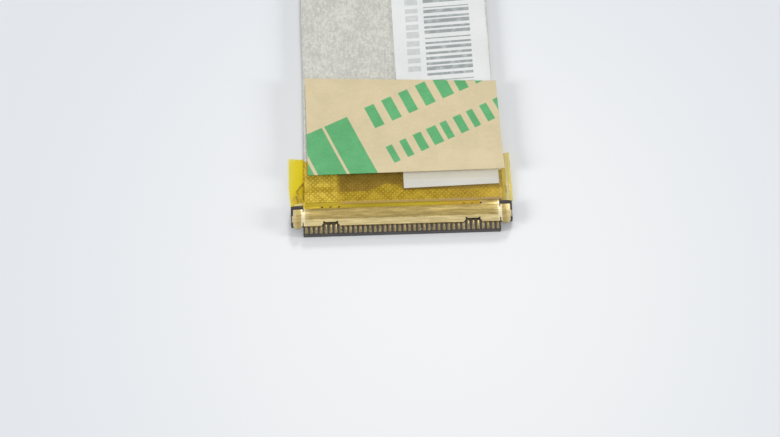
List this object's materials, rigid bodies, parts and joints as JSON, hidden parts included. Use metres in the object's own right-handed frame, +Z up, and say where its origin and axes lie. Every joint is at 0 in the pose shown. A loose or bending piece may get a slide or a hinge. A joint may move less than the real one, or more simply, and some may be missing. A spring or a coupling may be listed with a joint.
{
  "type": "laptop display cable",
  "caption": "Flat shielded display cable with a fine-pitch plug, film tape, label and pad at the panel end and a folded round bundle to its board plug.",
  "frame": {"origin": "on the surface that the cable lies on, under the middle of the panel plug, flat lead and taper together", "axes": "+Y runs along the flat lead away from the panel plug's nose, +X to the right seen from above with the nose towards the viewer, +Z up"},
  "size_m": [0.0275, 0.1837, 0.0066],
  "materials": {
    "plug_plastic": "moulded satin",
    "contact_gold": "gold flash",
    "shell_gold": "brushed gold plate",
    "tinned_copper": "tinned",
    "wire_jacket": "extruded",
    "shield_cloth": "metallised woven cloth",
    "amber_film": "clear amber film",
    "label_paper": "smooth",
    "pad_foam": "foam",
    "liner_paper": "kraft, waxed",
    "collar_cloth": "woven adhesive tape",
    "tie_band": "hook-and-loop band"
  },
  "bodies": {
    "root": {"plug_housing": "plug_plastic", "plug_contacts": "contact_gold", "plug_top_shell": "shell_gold", "plug_bottom_shell": "shell_gold", "ground_bar_top": "tinned_copper", "ground_bar_bottom": "tinned_copper", "coax_cores": "tinned_copper", "coax_braids": "tinned_copper", "coax_jackets": "wire_jacket", "shield_wrap": "shield_cloth", "upper_film_tape": "amber_film", "lower_film_tape": "amber_film", "inspection_label": "label_paper", "adhesive_pad": "pad_foam", "release_liner": "liner_paper", "taper_wrap": "shield_cloth", "collar_tape": "collar_cloth", "bundle_run": "shield_cloth", "bundle_hank": "shield_cloth", "bundle_tail": "shield_cloth", "hank_tie": "tie_band", "tail_collar": "collar_cloth", "fan_wrap": "shield_cloth", "board_film_tape": "amber_film", "board_plug_housing": "plug_plastic", "board_plug_contacts": "contact_gold", "board_plug_top_shell": "shell_gold", "board_plug_bottom_shell": "shell_gold", "board_ground_bar_top": "tinned_copper", "board_ground_bar_bottom": "tinned_copper", "board_coax_cores": "tinned_copper", "board_coax_braids": "tinned_copper"}
  },
  "joints": []
}
